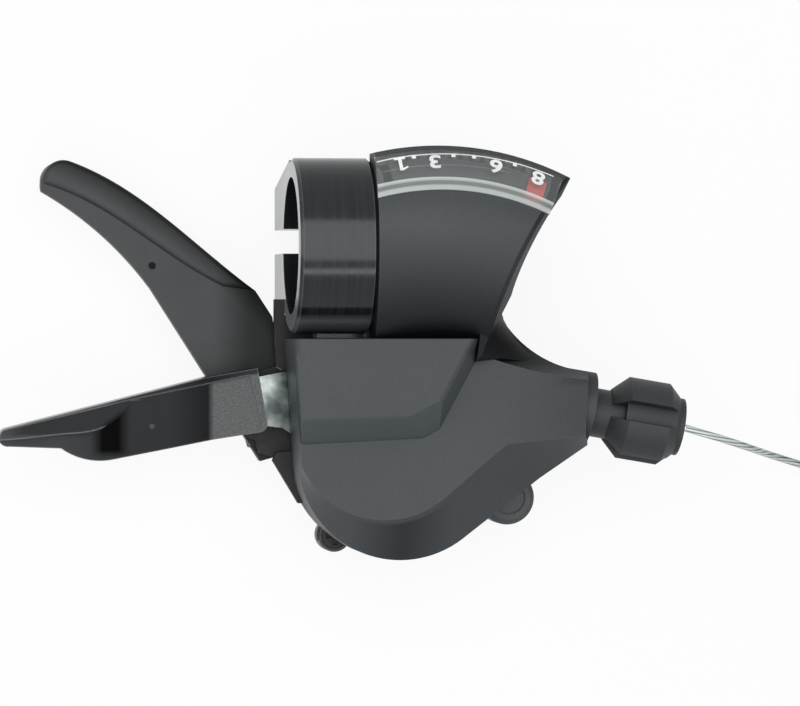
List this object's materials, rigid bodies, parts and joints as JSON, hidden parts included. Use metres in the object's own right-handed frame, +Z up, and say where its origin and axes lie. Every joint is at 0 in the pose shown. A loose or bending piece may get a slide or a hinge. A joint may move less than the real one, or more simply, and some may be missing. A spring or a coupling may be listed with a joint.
{
  "type": "bicycle gear shifter",
  "caption": "Under-bar bicycle gear shifter with a split handlebar clamp, thumb and finger levers, a fan-shaped gear window and a barrel adjuster.",
  "frame": {"origin": "centre of the handlebar clamp on the bar axis, at the middle of the band width", "axes": "+X along the handlebar towards the cable outlet, +Y towards the rider, +Z up through the gear window"},
  "size_m": [0.1649, 0.0669, 0.0383],
  "materials": {
    "cover_plastic": "fine textured charcoal",
    "casing_plastic": "fine textured black",
    "band_anodised": "glossy black anodised aluminium",
    "zinc_steel": "zinc plated",
    "black_steel": "black oxide",
    "lever_resin": "matt moulded resin",
    "grip_resin": "satin moulded resin",
    "window_clear": "clear polycarbonate",
    "pointer_red": "red moulded resin",
    "drum_resin": "natural acetal",
    "knob_plastic": "matt moulded resin",
    "collar_brass": "turned",
    "spring_steel": "drawn wire",
    "wire_steel": "stranded stainless wire",
    "tie_plastic": "moulded",
    "crimp_aluminium": "plain"
  },
  "bodies": {
    "housing": {"upper_cover": "cover_plastic", "lower_casing": "casing_plastic", "base_plate": "black_steel", "clamp_band": "band_anodised", "clamp_bolt": "black_steel", "clamp_nut": "zinc_steel", "clamp_foot_screw": "zinc_steel", "main_axle": "zinc_steel", "axle_clip": "spring_steel", "drum_spring": "spring_steel", "lever_spring": "spring_steel", "hold_pawl_pin": "zinc_steel", "indicator_window": "window_clear", "nose_collar": "collar_brass", "inner_cable": "wire_steel", "cable_run": "wire_steel", "cable_coil": "wire_steel", "cable_tie": "tie_plastic", "cable_end_cap": "crimp_aluminium", "hatch_cap": "casing_plastic", "base_screw": "black_steel", "cover_screw_1": "black_steel", "cover_screw_2": "black_steel"},
    "drum": {"cable_drum": "drum_resin", "cable_head": "wire_steel", "ratchet_wheel": "zinc_steel"},
    "main_lever": {"main_lever_plate": "black_steel", "main_lever_arm": "lever_resin", "lever_rivet_1": "black_steel", "lever_rivet_2": "black_steel", "wind_pawl_pin": "zinc_steel"},
    "release_lever": {"release_lever_plate": "zinc_steel", "release_lever_grip": "grip_resin"},
    "wind_pawl": {"wind_pawl": "zinc_steel"},
    "hold_pawl": {"hold_pawl": "zinc_steel"},
    "pointer": {"gear_pointer": "pointer_red"},
    "adjuster": {"adjuster_bolt": "zinc_steel", "adjuster_knob": "knob_plastic"}
  },
  "joints": [
    {"name": "main_lever_push", "type": "hinge", "parent": "housing", "child": "main_lever", "pos_m": [0.0116, -0.0341, -0.0065], "axis": [0, 0, 1], "range_deg": [0, 38.81], "stiffness_Nm_per_rad": 0.05, "springref_deg": -17.19},
    {"name": "release_lever_pull", "type": "hinge", "parent": "housing", "child": "release_lever", "pos_m": [0.0116, -0.0341, -0.0065], "axis": [0, 0, -1], "range_deg": [0, 10], "stiffness_Nm_per_rad": 0.05, "springref_deg": -17.19},
    {"name": "drum_turn", "type": "hinge", "parent": "housing", "child": "drum", "pos_m": [0.0116, -0.0341, -0.0065], "axis": [0, 0, 1], "range_deg": [0, 90.56]},
    {"name": "pointer_sweep", "type": "hinge", "parent": "housing", "child": "pointer", "pos_m": [0.0167, -0.0311, 0.008], "axis": [0, 0, 1], "range_deg": [0, 29.15]},
    {"name": "adjuster_turn", "type": "hinge", "parent": "housing", "child": "adjuster", "pos_m": [0.0423, -0.02682, -0.0025], "axis": [0.9854, -0.1702, 0], "continuous": true},
    {"name": "wind_pawl_tilt", "type": "hinge", "parent": "main_lever", "child": "wind_pawl", "pos_m": [0.01524, -0.04679, -0.0065], "axis": [0, 0, 1], "range_deg": [0, 10], "stiffness_Nm_per_rad": 0.002},
    {"name": "hold_pawl_tilt", "type": "hinge", "parent": "housing", "child": "hold_pawl", "pos_m": [0.02022, -0.02307, -0.0065], "axis": [0, 0, 1], "range_deg": [0, 8.5], "stiffness_Nm_per_rad": 0.002}
  ],
  "couplings": [
    {"joint": "pointer_sweep", "follows": "drum_turn", "ratio": 0.3213}
  ]
}
